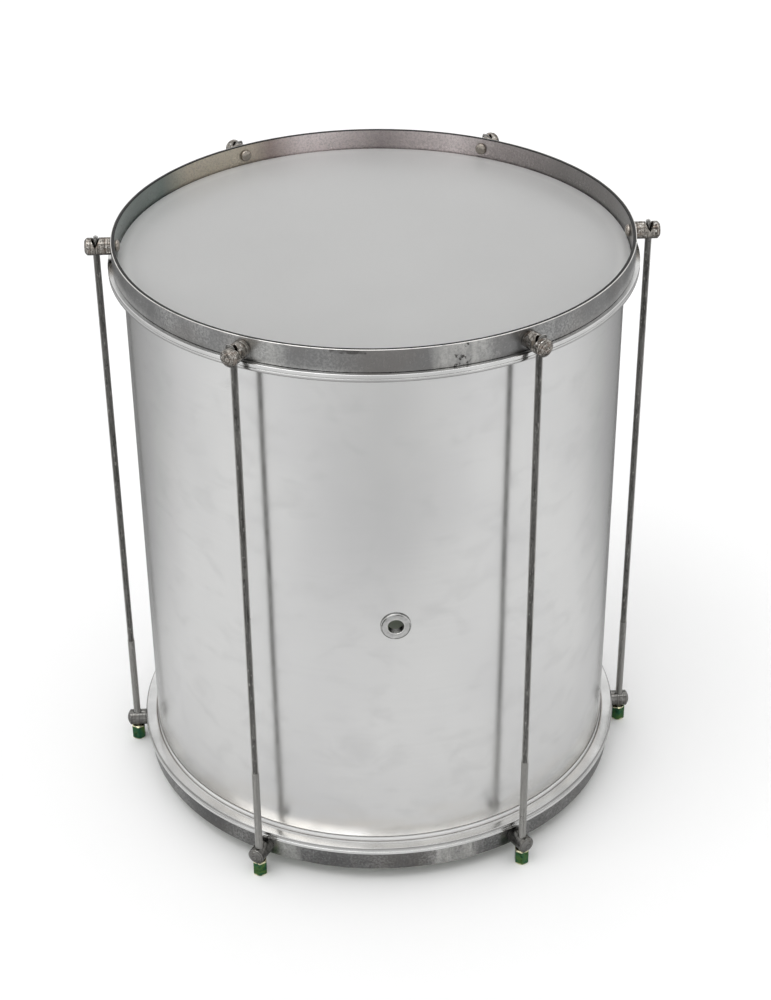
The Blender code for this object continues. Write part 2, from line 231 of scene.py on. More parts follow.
def newMaterial(name, values):
    material = bpy.data.materials.new(name)
    material.use_nodes = True
    tree = material.node_tree
    shader = tree.nodes["Principled BSDF"]
    for socket, value in values.items():
        shader.inputs[socket].default_value = value
    return material, tree, shader


def feed(tree, shader, sources):
    for socket, source in sources.items():
        tree.links.new(source, shader.inputs[socket])


def grainAt(tree, coordinates, size, stretch=(1, 1, 1), detail=3.0, roughness=0.5, distortion=0.0):
    # an uneven pattern with features about size metres across, longer along an axis with a larger stretch
    scale = tuple(1 / (size * s) for s in stretch)
    scaled = addNode(tree, "Mapping", {"Vector": coordinates, "Scale": scale})
    look = {"Vector": scaled, "Scale": 1.0, "Detail": detail, "Roughness": roughness, "Distortion": distortion}
    return addNode(tree, "TexNoise", look)


def coats(tree, colour, layers):
    # each layer is a pattern, the values of it between which the layer comes up, how far, and its colour
    for pattern, low, high, most, coat in layers:
        share = addNode(tree, "MapRange", {"Value": pattern, 1: low, 2: high, 3: 0.0, 4: most})
        colour = addNode(tree, "Mix", {0: share, 6: colour, 7: coat}, 2, data_type="RGBA")
    return colour


def tonesRound(tree, share, stops, first, last):
    # stops are (degrees, hex colour), laid out between first and last
    ramp = addNode(tree, "ValToRGB", {0: share})
    elements = ramp.node.color_ramp.elements
    while len(elements) < len(stops):
        elements.new(0.5)
    for element, (degrees, tone) in zip(elements, stops):
        element.position = (degrees - first) / (last - first)
        element.color = linearColour(tone)
    return ramp


def aboveMiddle(tree, place):
    height = addNode(tree, "SeparateXYZ", {0: place}, "Z")
    return addNode(tree, "Math", {0: height, 1: middleHeight}, operation="SUBTRACT")


def fromAxis(tree, place):
    flat = addNode(tree, "VectorMath", {0: place, 1: (1, 1, 0)}, operation="MULTIPLY")
    return addNode(tree, "VectorMath", {0: flat}, "Value", operation="LENGTH")


def bandAbout(tree, value, middle, start, full):
    # a share that is 1 up to full away from the middle value, and fades to 0 at start away from it
    apart = addNode(tree, "Math", {0: value, 1: middle}, operation="SUBTRACT")
    aside = addNode(tree, "Math", {0: apart}, operation="ABSOLUTE")
    return addNode(tree, "MapRange", {"Value": aside, 1: start, 2: full})


def roundGrain(tree, shader):
    # turning and rolling marks run round the piece, so highlights stretch across them
    tangent = addNode(tree, "Tangent", direction_type="UV_MAP", uv_map="wrap")
    tree.links.new(tangent, shader.inputs["Tangent"])


# Shell

shellSheet = {
    "segments": 360,
    "wall": 1.5 * millimetre,
    "lip": 6.0 * millimetre,  # how far the edge is turned in
    "edgeRounding": 1.2 * millimetre,
    "ventHoleRadius": 7.8 * millimetre,
    "ventBand": 11.5 * millimetre,  # faces split here, so that the hole's cut stays near the flange
    "stainHeight": 70.0 * millimetre,
}


def rolledAluminiumSheet():
    # mill-finish sheet: a satin grey mirror with soft, slow unevenness and faint rolling streaks, and
    # faintly stained towards its foot
    look = {"Metallic": 1.0, "Anisotropic": 0.35, "Anisotropic Rotation": 0.25}
    material, tree, shader = newMaterial("rolledAluminiumSheet", look)
    place = addNode(tree, "TexCoord", output="Object")
    height = addNode(tree, "SeparateXYZ", {0: place}, "Z")
    roundGrain(tree, shader)
    cloud = grainAt(tree, place, 0.09, (1, 1, 1.6), detail=2.0)
    streak = grainAt(tree, place, 0.0016, (60, 60, 1), detail=2.0)
    smudge = grainAt(tree, place, 0.03, (1, 1, 0.7), detail=4.0, distortion=0.6)
    warmth = grainAt(tree, place, 0.05, (1, 1, 0.3), detail=2.0)
    stainTop = bottomEdge + shellSheet["stainHeight"]
    foot = addNode(tree, "MapRange", {"Value": height, 1: stainTop, 2: bottomEdge})
    footStain = addNode(tree, "Math", {0: foot, 1: warmth}, operation="MULTIPLY")
    tone = coats(tree, "E3E3E3", [
        (cloud, 0.35, 0.65, 1.0, "EBEBEA"), (streak, 0.3, 0.7, 0.1, "CFCFCF"),
        (smudge, 0.52, 0.75, 0.4, "D2D2D2"), (footStain, 0.2, 0.6, 0.4, "DFD5C6"),
    ])
    warp = grainAt(tree, place, 0.11, (1, 1, 1.8), detail=1.0)
    warped = addNode(tree, "Bump", {"Height": warp, "Distance": 0.9 * millimetre})
    feed(tree, shader, {
        "Base Color": tone,
        "Roughness": addNode(tree, "MapRange", {"Value": smudge, 1: 0.3, 2: 0.75, 3: 0.2, 4: 0.27}),
        "Normal": addNode(tree, "Bump", {"Height": streak, "Distance": 0.0015 * millimetre, "Normal": warped}),
    })
    return material


def buildShell():
    s = shellSheet
    inner = shellRadius - s["wall"]
    lip = shellRadius - s["lip"]
    outline = [
        (lip, halfHeight, 0), (shellRadius, halfHeight, s["edgeRounding"]),
        (shellRadius, s["ventBand"], 0), (shellRadius, -s["ventBand"], 0),
        (shellRadius, -halfHeight, s["edgeRounding"]), (lip, -halfHeight, 0), (lip, s["wall"] - halfHeight, 0),
        (inner, s["wall"] - halfHeight, 0), (inner, -s["ventBand"], 0), (inner, s["ventBand"], 0),
        (inner, halfHeight - s["wall"], 0), (lip, halfHeight - s["wall"], 0),
    ]
    bm = spinOutline(filletOutline(outline), s["segments"])
    wrapMap(bm)
    hole = cylinderTool(
        s["ventHoleRadius"], 8 * s["wall"], 48, [ventFrame @ Matrix.Translation((0, 0, shellRadius))]
    )
    mesh = combined(settleMesh(bm, "shellSheet"), [hole])
    dress("shellSheet", mesh, "shell", rolledAluminiumSheet(), shellPlace)


buildShell()
print("stage: shell")

# Heads: film over the shell's edge, down its side and out into the flesh hoop

headFilm = {
    "segments": 240,
    "thickness": 0.3 * millimetre,
    "collarReach": 4.0 * millimetre,  # from the shell's side, out over the flesh hoop
    "collarRounding": 0.9 * millimetre,
    "collarLift": 0.25 * millimetre,  # above the flesh hoop
    "skirtGap": 0.3 * millimetre,  # shell to film
    "rimReach": 4.4 * millimetre,
    "skirtPast": 3.6 * millimetre,  # how far the skirt shows past the flesh hoop, along the shell
    "paintedLightFrom": 8.2 * millimetre,  # in from the shell's side: where the film starts to be painted paler, as painted light from the shell's bright edge beneath
    "paintedLightFull": 5.2 * millimetre,
    "flatEnd": 1.2 * millimetre,  # in from the shell's side: where the flat face's tint ends
    "tintFull": 3.2 * millimetre,
}


def milkyPolyesterFilm(name, passing, tinted):
    # cast polyester drum film: smooth and milky, with painted light where it lies on the shell's bright edge and
    # painted shade along its skirt's cut end; passing is the light let through, tinted how green its flat face is
    s = headFilm
    look = {"Metallic": 0.0, "IOR": 1.57, "Specular IOR Level": 0.35, "Transmission Weight": passing}
    material, tree, shader = newMaterial(name, look)
    place = addNode(tree, "TexCoord", output="Object")
    haze = grainAt(tree, place, 0.14, detail=2.0)
    grain = grainAt(tree, place, 0.0011, detail=2.0)
    level = addNode(tree, "Math", {0: aboveMiddle(tree, place)}, operation="ABSOLUTE")
    reach = fromAxis(tree, place)
    skirtEnd = halfHeight + fleshBack - s["skirtPast"]
    tone = coats(tree, "F0F0EF", [
        (haze, 0.35, 0.65, 1.0, "F4F4F3"), (grain, 0.3, 0.7, 0.25, "E8E8E8"),
        # painted light: the film is painted paler where it lies over the shell's bright edge
        (reach, shellRadius - s["paintedLightFrom"], shellRadius - s["paintedLightFull"], 0.5, "FDFDFC"),
        # painted shade: the film is painted darker along its skirt's cut end
        (level, skirtEnd + 0.9 * millimetre, skirtEnd + 0.4 * millimetre, 0.4, "8C8B89"),
        (reach, shellRadius - s["flatEnd"], shellRadius - s["tintFull"], tinted, "E0EBD6"),
    ])
    feed(tree, shader, {
        "Base Color": tone,
        "Roughness": addNode(tree, "MapRange", {"Value": haze, 1: 0.3, 2: 0.7, 3: 0.28, 4: 0.34}),
        "Normal": addNode(tree, "Bump", {"Height": grain, "Distance": 0.004 * millimetre}),
    })
    return material


def buildHeads():
    s = headFilm
    thick = s["thickness"]
    inner = shellRadius + s["skirtGap"]
    outer = inner + thick
    collar = shellRadius + s["collarReach"]
    fold = fleshFace + s["collarLift"]
    rimLevel = (fleshFace + fleshBack) / 2
    rimTop = rimLevel + thick / 2
    rimLow = rimLevel - thick / 2
    outline = [
        (0, filmFace, 0), (shellRadius * 0.5, filmFace, 0), (collar, filmFace, s["collarRounding"]),
        (collar, fold, 0.2 * millimetre), (outer, fold, 0), (outer, rimTop, 0), (outer + s["rimReach"], rimTop, 0),
        (outer + s["rimReach"], rimLow, 0), (outer, rimLow, 0), (outer, fleshBack - s["skirtPast"], 0),
        (inner, fleshBack - s["skirtPast"], 0), (inner, fold + thick, 0),
        (collar - thick, fold + thick, 0), (collar - thick, filmFace - thick, s["collarRounding"] - thick),
        (shellRadius * 0.5, filmFace - thick, 0), (0, filmFace - thick, 0),
    ]
    bm = spinOutline(filletOutline(outline, 6), s["segments"], closed=False)
    wrapMap(bm)
    mesh = settleMesh(bm, "headFilm")
    thinFilm = milkyPolyesterFilm("milkyPolyesterFilm", 0.61, 0.0)
    denseFilm = milkyPolyesterFilm("densePolyesterFilm", 0.05, 0.9)
    dress("batterFilm", mesh, "batter_head", thinFilm, batterEnd)
    dress("resonantFilm", mesh, "resonant_head", denseFilm, resonantEnd)


buildHeads()
print("stage: heads")

# Flesh hoops: a drawn ring with a slot for the film inside and a bead line round its outer face

fleshHoop = {
    "segments": 360,
    "slotHeight": 1.1 * millimetre,
    "slotDepth": 4.6 * millimetre,
    "skirtRoom": 0.9 * millimetre,  # shell to ring, with the film's skirt between them
    "innerRounding": 0.6 * millimetre,
    "outerRounding": 1.4 * millimetre,
    "pressedRounding": 0.6 * millimetre,
    "grooveLevel": 3.3 * millimetre,  # up from the side that faces the shell
    "grooveWidth": 0.9 * millimetre,
    "grooveDepth": 0.4 * millimetre,
}


def drawnAluminium():
    # bright extruded aluminium ring: light, with fine lines drawn round it, and painted shade in its groove, on
    # its low outer edge and, brown, where it meets the film
    s = fleshHoop
    look = {"Metallic": 1.0, "Anisotropic": 0.3, "Anisotropic Rotation": 0.25}
    material, tree, shader = newMaterial("drawnAluminium", look)
    place = addNode(tree, "TexCoord", output="Object")
    roundGrain(tree, shader)
    cloud = grainAt(tree, place, 0.03, detail=3.0)
    line = grainAt(tree, place, 0.0009, (30, 30, 1), detail=1.0)
    level = addNode(tree, "Math", {0: aboveMiddle(tree, place)}, operation="ABSOLUTE")
    reach = fromAxis(tree, place)
    back = halfHeight + fleshBack
    side = fleshBox[1][0]
    # painted shade: the ring is painted darker on its low outer edge and in its groove, on the outer face only
    low = addNode(tree, "MapRange", {"Value": level, 1: back + 2.6 * millimetre, 2: back + 0.6 * millimetre})
    groove = bandAbout(tree, level, back + s["grooveLevel"], 0.6 * millimetre, 0.3 * millimetre)
    shadeInGroove = addNode(tree, "Math", {0: groove, 1: 0.45}, operation="MULTIPLY")
    shadeLowAndInGroove = addNode(tree, "Math", {0: low, 1: shadeInGroove}, operation="MAXIMUM")
    outside = addNode(tree, "MapRange", {
        "Value": reach, 1: side - s["outerRounding"], 2: side - 0.6 * millimetre,
    })
    grimeAndPaintedShade = addNode(tree, "Math", {0: shadeLowAndInGroove, 1: outside}, operation="MULTIPLY")
    tone = coats(tree, "F2F2F1", [
        (cloud, 0.35, 0.7, 1.0, "E0E0DF"), (line, 0.35, 0.7, 0.3, "CFCFCE"), (grimeAndPaintedShade, 0.0, 1.0, 0.8, "777674"),
        # painted shade: a brown darkening where the ring meets the film and the shell
        (reach, shellRadius + 2.6 * millimetre, shellRadius + 1.4 * millimetre, 0.75, "5E4F44"),
    ])
    feed(tree, shader, {
        "Base Color": tone,
        "Roughness": addNode(tree, "MapRange", {"Value": cloud, 1: 0.3, 2: 0.7, 3: 0.14, 4: 0.24}),
        "Normal": addNode(tree, "Bump", {"Height": line, "Distance": 0.01 * millimetre}),
    })
    return material


def buildFleshHoops():
    s = fleshHoop
    inner = shellRadius + s["skirtRoom"]
    outer = fleshBox[1][0] - 0.002 * millimetre  # just inside the frame's box
    middle = (fleshFace + fleshBack) / 2
    slotTop = middle + s["slotHeight"] / 2
    slotLow = middle - s["slotHeight"] / 2
    grooveTop = fleshBack + s["grooveLevel"] + s["grooveWidth"] / 2
    grooveLow = fleshBack + s["grooveLevel"] - s["grooveWidth"] / 2
    floor = outer - s["grooveDepth"]
    outline = [
        (inner, fleshFace, 0.3 * millimetre), (outer, fleshFace, s["pressedRounding"]),
        (outer, grooveTop, 0.15 * millimetre), (floor, grooveTop - s["grooveWidth"] * 0.3, 0),
        (floor, grooveLow + s["grooveWidth"] * 0.3, 0), (outer, grooveLow, 0.15 * millimetre),
        (outer, fleshBack, s["outerRounding"]), (inner, fleshBack, s["innerRounding"]),
        (inner, slotLow, 0), (inner + s["slotDepth"], slotLow, 0),
        (inner + s["slotDepth"], slotTop, 0), (inner, slotTop, 0),
    ]
    bm = spinOutline(filletOutline(outline, 5), s["segments"])
    wrapMap(bm)
    mesh = settleMesh(bm, "fleshHoop")
    ringMetal = drawnAluminium()
    dress("batterFleshRing", mesh, "batter_flesh_hoop", ringMetal, batterEnd)
    dress("resonantFleshRing", mesh, "resonant_flesh_hoop", ringMetal, resonantEnd)


buildFleshHoops()
print("stage: flesh hoops")

# Counterhoops: flat bar bent on edge, its corners rounded as rolled

counterHoop = {
    "segments": 360,
    "thickness": 3.2 * millimetre,
    "cornerRounding": 0.55 * millimetre,
    "tenonHoleRadius": 4.3 * millimetre,
    # marks along the bar in radians: the middle from the weld, and how far off it the mark ends and is full
    "scrapedSpan": (0.0, 0.15, 0.07),
    "pittedSpan": (0.0, 0.06, 0.03),
    "rubbedSpan": (-0.71, 0.11, 0.05),
    "stainedSpan": (-0.4, 0.09, 0.06),
    # tarnish and painted reflections on the bar's inner side, by degrees from the weld; the near-white stops are
    # painted reflection
    "innerHuesAndReflections": [
        (-180, "FFF2F2"), (-172, "AA9893"), (-165, "D6CBB8"), (-148, "CFC5B2"), (-138, "7C8983"), (-110, "87918D"),
        (110, "8A8583"), (132, "B4AAA9"), (142, "F4E8E8"), (152, "D0C4C4"), (160, "A69B9B"), (176, "FFF2F2"),
    ],
}


def zincPlatedBar(name, pale, dark, brown, scars):
    # plated flat bar: dull blue-grey zinc, mottled, painted near black as shade on its narrow edge, with a painted
    # highlight along the outer corner, scraped bare where the bar's ends were welded together, and tarnished in hues
    # with painted reflections inside;
    # scars is how strongly the weld's pits and two dark stains show
    s = counterHoop
    material, tree, shader = newMaterial(name, {"Metallic": 1.0})
    place = addNode(tree, "TexCoord", output="Object")
    level = addNode(tree, "Math", {0: aboveMiddle(tree, place)}, operation="ABSOLUTE")
    reach = fromAxis(tree, place)
    turned = addNode(tree, "Mapping", {"Vector": place, "Rotation": (0, 0, -weldAngle)})
    flat = addNode(tree, "SeparateXYZ", {0: turned})
    angle = addNode(tree, "Math", {0: flat.node.outputs["Y"], 1: flat}, operation="ARCTAN2")

    blotch = grainAt(tree, place, 0.045, (1, 1, 1.5), detail=4.0, distortion=0.4)
    mottle = grainAt(tree, place, 0.0019, detail=4.0, roughness=0.75)
    stain = grainAt(tree, place, 0.06, detail=2.0)
    pit = grainAt(tree, place, 0.0035, detail=3.0, roughness=0.6)
    brushed = grainAt(tree, place, 0.005, (1, 1, 4), detail=4.0, roughness=0.6)
    wearAndGlint = grainAt(tree, place, 0.012, detail=3.0)
    dab = grainAt(tree, place, 0.009, detail=3.0)

    rim = halfHeight + hoopRim
    onRim = addNode(tree, "MapRange", {"Value": level, 1: rim - 0.6 * millimetre, 2: rim - 0.3 * millimetre})
    nearRim = addNode(tree, "MapRange", {"Value": level, 1: rim - 6.0 * millimetre, 2: rim - 3.0 * millimetre})
    outerSide = addNode(tree, "MapRange", {
        "Value": reach, 1: hoopOuter - 0.9 * millimetre, 2: hoopOuter - 0.5 * millimetre,
    })
    corner = addNode(tree, "Math", {0: onRim, 1: outerSide}, operation="MULTIPLY")
    stainArea = addNode(tree, "Math", {
        0: bandAbout(tree, angle, *s["stainedSpan"]), 1: nearRim,
    }, operation="MULTIPLY")
    # each mark's area times its grain, which its coat below turns into patches
    scraped, rubbed, pitted, dabbed, paintedCornerHighlight = (
        addNode(tree, "Math", {0: area, 1: grain}, operation="MULTIPLY") for area, grain in (
            (bandAbout(tree, angle, *s["scrapedSpan"]), brushed), (bandAbout(tree, angle, *s["rubbedSpan"]), brushed),
            (bandAbout(tree, angle, *s["pittedSpan"]), pit), (stainArea, dab), (corner, wearAndGlint),
        )
    )
    turn = addNode(tree, "MapRange", {"Value": angle, 1: -math.pi, 2: math.pi})
    # tarnish and painted reflection: hues by angle round the inner side, near white where a reflection is painted
    tarnishAndPaintedReflection = tonesRound(tree, turn, s["innerHuesAndReflections"], -180, 180)
    inside = hoopOuter - s["thickness"]
    tone = coats(tree, dark, [
        (blotch, 0.38, 0.62, 1.0, pale), (mottle, 0.44, 0.58, 0.85, dark), (mottle, 0.46, 0.34, 0.35, pale),
        (stain, 0.52, 0.7, 0.25, brown), (scraped, 0.15, 0.6, 0.8, "CFCECB"), (rubbed, 0.15, 0.6, 0.7, "C6C6C3"),
        (pitted, 0.56, 0.64, scars, "2A2725"), (dabbed, 0.42, 0.54, 0.75 * scars, "3A3836"),
        (reach, inside + 0.6 * millimetre, inside + 0.2 * millimetre, 0.8, tarnishAndPaintedReflection),
        # painted highlight: the rim's outer corner is painted bright in patches
        # painted shade: the rim's narrow top face is painted near black
        (mottle, 0.46, 0.62, 0.35, dark), (onRim, 0.0, 1.0, 0.97, "131211"), (paintedCornerHighlight, 0.2, 0.4, 1.0, "F0EEEA"),
    ])
    feed(tree, shader, {
        "Base Color": tone,
        "Roughness": addNode(tree, "MapRange", {"Value": mottle, 1: 0.3, 2: 0.7, 3: 0.24, 4: 0.38}),
        "Normal": addNode(tree, "Bump", {"Height": mottle, "Distance": 0.03 * millimetre}),
    })
    return material


def buildCounterHoops():
    s = counterHoop
    inner = hoopOuter - s["thickness"]
    r = s["cornerRounding"]
    outline = [(hoopOuter, hoopRim, r), (hoopOuter, hoopSeat, r), (inner, hoopSeat, r), (inner, hoopRim, r)]
    bm = spinOutline(filletOutline(outline, 4), s["segments"])
    wrapMap(bm)
    level = Matrix.Translation((0, 0, lugLevel))
    reach = Matrix.Translation((0, 0, (hoopOuter + inner) / 2))
    holes = cylinderTool(
        s["tenonHoleRadius"], 4 * s["thickness"], 32, [level @ outwards(a) @ reach for a in lugAngles]
    )
    mesh = combined(settleMesh(bm, "counterHoop"), [holes])
    topZinc = zincPlatedBar("zincPlatedBar", "B2B2B1", "868686", "8E857D", 0.9)
    # painted shade: the bottom bar gets a darker copy of the same zinc, and no weld pits or stains
    bottomZinc = zincPlatedBar("zincPlatedBarShaded", "9E9E9D", "666666", "7A726A", 0.0)
    dress("topBar", mesh, "top_hoop", topZinc, batterEnd)
    dress("bottomBar", mesh, "bottom_hoop", bottomZinc, resonantEnd)


buildCounterHoops()
print("stage: counterhoops")

# Lugs: studs turned from bar, with a tenon through the hoop that is peened over inside

lugStud = {
    "segments": 64,
    "seatGap": 0.3 * millimetre,
    "tenonRadius": 4.0 * millimetre,
    "rivetRadius": 5.3 * millimetre,
    "rivetHeight": 3.0 * millimetre,
    "rivetGap": 0.62 * millimetre,  # from the hoop's inner side
    "chamfer": 2.2 * millimetre,
    "crown": 0.35 * millimetre,  # how far the turned end swells
    "dome": 2.8 * millimetre,
    "notchDepth": 6.3 * millimetre,
    "rodHoleRadius": 3.35 * millimetre,
    "threadHoleRadius": 3.775 * millimetre,
}


def turnedSteel(name, pale, dark, warm, roughness, wearAndGlint):
    # lathe-turned stud: grooves run round it, so its end flashes in a bow tie and its side in a line;
    # it is painted dark underneath as shade; the last argument is how strongly specks and painted glints show
    look = {"Metallic": 1.0, "Anisotropic": 0.5, "Anisotropic Rotation": 0.25}
    material, tree, shader = newMaterial(name, look)
    place = addNode(tree, "TexCoord", output="Object")
    wrap = addNode(tree, "UVMap", uv_map="wrap")
    roundGrain(tree, shader)
    groove = grainAt(tree, wrap, 0.0012, (40, 1, 1), detail=2.0)  # coarser than the tool's real feed, to show
    tarnishAndPaintedReflection = grainAt(tree, place, 0.004, detail=3.0, distortion=0.5)
    speck = grainAt(tree, place, 0.0018, detail=3.0, roughness=0.65)
    paintedGlint = grainAt(tree, place, 0.0025, (1, 1, 0.6), detail=2.0)
    fromMiddle = aboveMiddle(tree, place)
    reach = fromAxis(tree, place)
    axisHeight = halfHeight + lugLevel
    upper = addNode(tree, "Math", {0: fromMiddle, 1: 0.0}, operation="GREATER_THAN")
    axis = addNode(tree, "MapRange", {"Value": upper, 3: -axisHeight, 4: axisHeight})
    shadedUnderside = addNode(tree, "Math", {0: axis, 1: fromMiddle}, operation="SUBTRACT")  # below the stud's own axis, where shade is painted
    inside = hoopOuter - counterHoop["thickness"]  # the rivet lies beyond this
    tone = coats(tree, dark, [
        (groove, 0.38, 0.62, 1.0, pale), (tarnishAndPaintedReflection, 0.5, 0.66, 0.5, warm), (speck, 0.52, 0.62, 0.8 * wearAndGlint, "2E2B28"),
        # painted highlight: pale glints in spots
        # painted shade: dark below the stud's axis
        (paintedGlint, 0.6, 0.68, 0.7 * wearAndGlint, "F4F2EE"), (shadedUnderside, 0.5 * millimetre, 5.5 * millimetre, 0.85, "262423"),
        (reach, inside + 0.2 * millimetre, inside - 0.4 * millimetre, 0.8, "9E978E"),
    ])
    feed(tree, shader, {
        "Base Color": tone,
        "Roughness": addNode(tree, "MapRange", {"Value": tarnishAndPaintedReflection, 1: 0.3, 2: 0.7, 3: roughness, 4: roughness + 0.1}),
        "Normal": addNode(tree, "Bump", {"Height": groove, "Distance": 0.03 * millimetre}),
    })
    return material


def studOutline(end):
    # end runs from the tip's centre to the side; heights are counted outwards from the rod's axis
    s = lugStud
    seat = hoopOuter + s["seatGap"] - rodCircle
    base = hoopOuter - counterHoop["thickness"] - s["rivetGap"] - rodCircle
    tip = base - s["rivetHeight"]
    return end + [
        (lugRadius, seat, 0.3 * millimetre), (s["tenonRadius"], seat, 0), (s["tenonRadius"], base, 0),
        (s["rivetRadius"], base, 0.25 * millimetre),
        (s["rivetRadius"] * 0.86, base - s["rivetHeight"] * 0.62, 1.2 * millimetre),
        (s["rivetRadius"] * 0.45, tip + 0.12 * millimetre, 1.0 * millimetre), (0, tip, 0),
    ]


def studMesh(name, end, tools):
    bm = spinOutline(filletOutline(studOutline(end), 4), lugStud["segments"], closed=False)
    wrapMap(bm)
    bmesh.ops.rotate(bm, verts=bm.verts, cent=(0, 0, 0), matrix=Matrix.Rotation(math.pi / 2, 3, "Y"))
    return combined(settleMesh(bm, name), tools, sharpAngle=28)


def buildLugs():
    s = lugStud
    tip = lugTip - rodCircle
    flat = lugRadius - s["chamfer"]
    hooked = [
        (0, tip, 0), (flat * 0.55, tip - s["crown"] * 0.3, 0), (flat, tip - s["crown"], 0.5 * millimetre),
        (lugRadius, tip - s["chamfer"], 0.6 * millimetre),
    ]
    rodHole = cylinderTool(s["rodHoleRadius"], 4 * lugRadius, 40, [Matrix.Identity(4)])
    prism = 2 * s["notchDepth"]
    lift = Matrix.Translation((0, 0, lugRadius - s["notchDepth"] + prism))
    across = Matrix.Rotation(math.pi, 4, "Y") @ Matrix.Rotation(math.pi / 2, 4, "X")
    notch = cylinderTool(prism, 4 * lugRadius, 3, [lift @ across])  # three-sided, so a 60 degree V
    hookedMesh = studMesh("hookedStud", hooked, [rodHole, notch])

    sphere = (lugRadius ** 2 + s["dome"] ** 2) / (2 * s["dome"])
    spread = math.asin(lugRadius / sphere)
    domed = [
        (sphere * math.sin(spread * k / 7), tip - sphere + sphere * math.cos(spread * k / 7), 0) for k in range(8)
    ]
    domed[-1] = (lugRadius, tip - s["dome"], 0.4 * millimetre)
    threadHole = cylinderTool(s["threadHoleRadius"], 4 * lugRadius, 40, [Matrix.Identity(4)])
    domedMesh = studMesh("domedStud", domed, [threadHole])

    topSteel = turnedSteel("turnedSteel", "BDB8B1", "645F59", "857062", 0.14, 1.0)
    # painted shade: the bottom studs get a darker copy of the same turned steel, with fewer specks and glints
    bottomSteel = turnedSteel("turnedSteelShaded", "8F8E8B", "5E5D5B", "5E5A55", 0.16, 0.25)
    station = Matrix.Translation((rodCircle, 0, lugLevel))
    for number, angle in enumerate(lugAngles, start=1):
        turn = Matrix.Rotation(angle, 4, "Z")
        dress(f"hookedStud{number}", hookedMesh, f"top_lug_{number}", topSteel, batterEnd @ turn @ station)
        low = resonantEnd @ turn.inverted() @ station
        dress(f"domedStud{number}", domedMesh, f"bottom_lug_{number}", bottomSteel, low)


buildLugs()
print("stage: lugs")

# Rods: drawn rod with a cold-bent hook, and a rolled thread that stands proud of it

tensionRod = {
    "segments": 24,
    "radius": 2.75 * millimetre,
    "hookRadius": 2.0 * millimetre,  # drawn down thinner before it is bent
    "bend": 3.2 * millimetre,
    "hookReach": 5.4 * millimetre,
    "hookHeight": 5.4 * millimetre,  # the hook's axis above the lug's axis
    "endRounding": 0.4 * millimetre,
    "threadLength": 107.0 * millimetre,
    "shoulder": 3.0 * millimetre,
    "threadRadius": 3.175 * millimetre,
    "threadRoot": 2.45 * millimetre,
    "pitch": 1.27 * millimetre,
    "threadSegments": 20,
}


def drawnSteelRod():
    # drawn rod, oiled and greyed: dark, with long faint scratches, rubbed paler lengths, a cleaner thread and a painted
    # sheen where it is seen aslant
    material, tree, shader = newMaterial("drawnSteelRod", {"Metallic": 1.0})
    place = addNode(tree, "TexCoord", output="Object")
    scratch = grainAt(tree, place, 0.0008, (1, 1, 25), detail=2.0)
    patch = grainAt(tree, place, 0.012, (1, 1, 3), detail=3.0, distortion=0.5)
    fleck = grainAt(tree, place, 0.0016, (1, 1, 2.5), detail=2.0)
    height = addNode(tree, "SeparateXYZ", {0: place}, "Z")
    threadTop = rodBox[0][2] + tensionRod["threadLength"]
    paintedGrazingSheen = addNode(tree, "LayerWeight", {"Blend": 0.5}, "Facing")  # painted sheen: paler where the rod is seen aslant
    tone = coats(tree, "4A4947", [
        (patch, 0.35, 0.68, 1.0, "666563"), (scratch, 0.4, 0.7, 0.5, "8E8D8A"), (fleck, 0.62, 0.74, 0.6, "B4B2AE"),
        (fleck, 0.4, 0.3, 0.6, "343331"), (height, threadTop + 0.4 * millimetre, threadTop, 0.5, "B4B3B0"),
        (paintedGrazingSheen, 0.3, 0.62, 0.75, "E2E1DE"),
    ])
    feed(tree, shader, {
        "Base Color": tone,
        "Roughness": addNode(tree, "MapRange", {"Value": patch, 1: 0.3, 2: 0.7, 3: 0.26, 4: 0.38}),
        "Normal": addNode(tree, "Bump", {"Height": scratch, "Distance": 0.02 * millimetre}),
    })
    return material


def rodBlank(low):
    # upright rod with a plug in the thread's top, its hook spun from the open upper end
    s = tensionRod
    radius = s["radius"]
    threadTop = low + s["threadLength"]
    bendStart = s["hookHeight"] - s["bend"]
    plug = s["threadRoot"] * 0.8
    outline = [
        (s["hookRadius"], bendStart), (s["hookRadius"], lugRadius - lugStud["notchDepth"]), (radius, -lugRadius),
        (radius, threadTop + s["shoulder"]), (s["threadRadius"] * 0.96, threadTop),
        (s["threadRadius"] * 0.96, threadTop - 0.25 * s["pitch"]), (plug, threadTop - 0.25 * s["pitch"]),
        (plug, threadTop - s["pitch"]), (0, threadTop - s["pitch"]),
    ]
    bm = spinOutline(outline, s["segments"], closed=False)
    rim = [e for e in bm.edges if e.is_boundary]
    bent = bmesh.ops.spin(
        bm, geom=rim, cent=(0, s["bend"], bendStart), axis=(1, 0, 0), angle=-math.pi / 2, steps=10,
    )
    rim = [e for e in bent["geom_last"] if isinstance(e, bmesh.types.BMEdge)]
    grown = bmesh.ops.extrude_edge_only(bm, edges=rim)["geom"]
    tips = [v for v in grown if isinstance(v, bmesh.types.BMVert)]
    bmesh.ops.translate(bm, verts=tips, vec=(0, s["hookReach"] - s["bend"], 0))
    rim = [e for e in bm.edges if e.is_boundary]
    bmesh.ops.edgeloop_fill(bm, edges=rim)
    bmesh.ops.recalc_face_normals(bm, faces=bm.faces)
    bmesh.ops.bevel(
        bm, geom=rim, offset=s["endRounding"], offset_type="OFFSET", segments=3, profile=0.5,
        affect="EDGES", material=-1, clamp_overlap=True,
    )
    return bm


